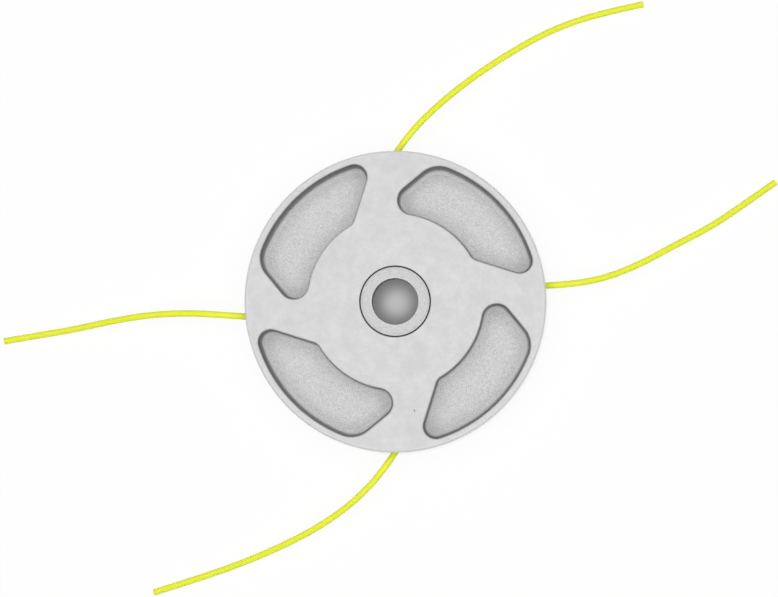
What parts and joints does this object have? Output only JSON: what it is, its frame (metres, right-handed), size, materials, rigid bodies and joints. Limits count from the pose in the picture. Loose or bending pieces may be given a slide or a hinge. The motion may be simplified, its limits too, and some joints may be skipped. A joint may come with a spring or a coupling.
{
  "type": "fixed line trimmer head",
  "caption": "Cast disc trimmer head with pinwheel pockets, a pressed-in arbor bush and short bent nylon lines leaving its rim.",
  "frame": {"origin": "on the arbor's axis, in the plane of the ground face that the head lies on", "axes": "+Z along the arbor's axis, towards the gearbox"},
  "size_m": [0.2873, 0.2205, 0.02],
  "materials": {
    "cast_aluminium": "tumbled, fine mottle, matt",
    "turned_steel": "turned, fine rings, satin",
    "yellow_nylon": "satin, slightly translucent"
  },
  "bodies": {
    "root": {"head_body": "cast_aluminium", "arbor_bush": "turned_steel", "line_a_held": "yellow_nylon", "line_a_right_end": "yellow_nylon", "line_a_top_end": "yellow_nylon", "line_b_held": "yellow_nylon", "line_b_left_end": "yellow_nylon", "line_b_bottom_end": "yellow_nylon"}
  },
  "joints": []
}
